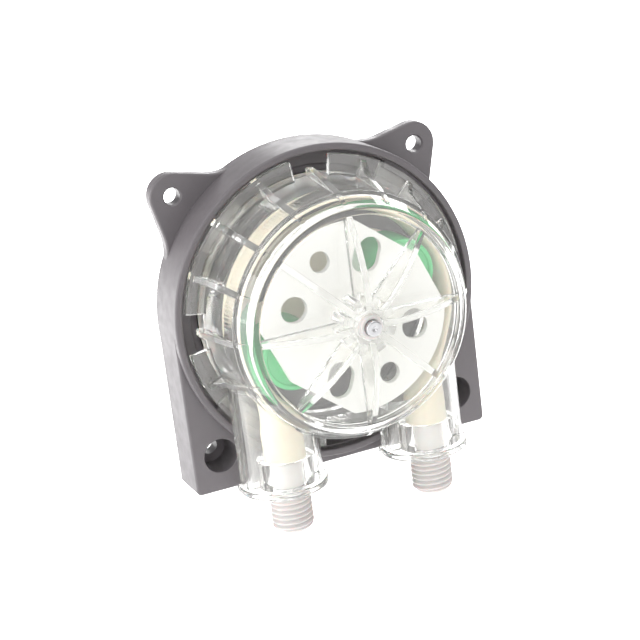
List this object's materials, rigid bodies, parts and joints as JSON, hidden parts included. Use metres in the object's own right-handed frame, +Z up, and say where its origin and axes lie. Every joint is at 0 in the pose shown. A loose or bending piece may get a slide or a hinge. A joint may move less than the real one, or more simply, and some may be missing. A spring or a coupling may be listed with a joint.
{
  "type": "peristaltic pump",
  "caption": "Panel-mounted peristaltic pump: flanged bracket, clear twist-off tube head, two-roller rotor, threaded ports and a rear gearmotor.",
  "frame": {"origin": "rotor axis at the bracket's flat back face, which sits on the panel", "axes": "+Y along the rotor axis into the panel, towards the motor; the head faces -Y; +Z up, with the ports pointing down; +X to the right seen from the front"},
  "size_m": [0.092, 0.108, 0.106],
  "materials": {
    "grey_plastic": "fine moulded texture, satin",
    "clear_plastic": "clear injection moulding, faint yellow tint, polished",
    "white_plastic": "smooth moulded",
    "green_plastic": "smooth moulded",
    "ivory_plastic": "moulded, fine grain",
    "tube_cream": "soft matt elastomer tube",
    "natural_plastic": "milky natural plastic",
    "black_rubber": "matt",
    "black_plastic": "matt",
    "bearing_steel": "ground",
    "bright_steel": "ground, bright",
    "screw_steel": "zinc plated",
    "zinc_casting": "die cast, bare",
    "motor_steel": "plated deep-drawn can",
    "brass": "stamped tab"
  },
  "bodies": {
    "bracket": {"base_bracket": "grey_plastic", "rear_bearing_outer": "bearing_steel", "rear_bearing_shield": "black_rubber", "head_gasket": "black_rubber", "gearbox_cover": "zinc_casting", "gearbox_case": "zinc_casting", "gearbox_screw_1": "screw_steel", "gearbox_screw_2": "screw_steel", "gearbox_screw_3": "screw_steel", "motor_can": "motor_steel", "motor_end_cap": "black_plastic", "motor_terminal_1": "brass", "motor_terminal_2": "brass"},
    "head": {"head_housing": "clear_plastic", "front_bush": "natural_plastic", "pump_tube": "tube_cream", "inlet_fitting": "natural_plastic", "outlet_fitting": "natural_plastic", "inlet_neck_ring": "bright_steel", "outlet_neck_ring": "bright_steel"},
    "rotor": {"rear_bearing_inner": "bearing_steel", "drive_shaft": "bright_steel", "drive_pin": "bright_steel", "rotor_yoke": "ivory_plastic", "rotor_front_plate": "white_plastic", "roller_pin_1": "bright_steel", "roller_pin_2": "bright_steel"},
    "roller_1": {"roller_1": "green_plastic"},
    "roller_2": {"roller_2": "green_plastic"}
  },
  "joints": [
    {"name": "rotor_spin", "type": "hinge", "parent": "bracket", "child": "rotor", "pos_m": [0, 0, 0], "axis": [0, -1, 0], "continuous": true},
    {"name": "roller_1_spin", "type": "hinge", "parent": "rotor", "child": "roller_1", "pos_m": [0.01749, -0.023, 0.00816], "axis": [0, -1, 0], "continuous": true},
    {"name": "roller_2_spin", "type": "hinge", "parent": "rotor", "child": "roller_2", "pos_m": [-0.01749, -0.023, -0.00816], "axis": [0, -1, 0], "continuous": true},
    {"name": "head_twist", "type": "hinge", "parent": "bracket", "child": "head", "pos_m": [0, 0, 0], "axis": [0, -1, 0], "range_deg": [0, 30]}
  ],
  "couplings": [
    {"joint": "roller_1_spin", "follows": "rotor_spin", "ratio": -3.0104},
    {"joint": "roller_2_spin", "follows": "rotor_spin", "ratio": -3.0104}
  ]
}
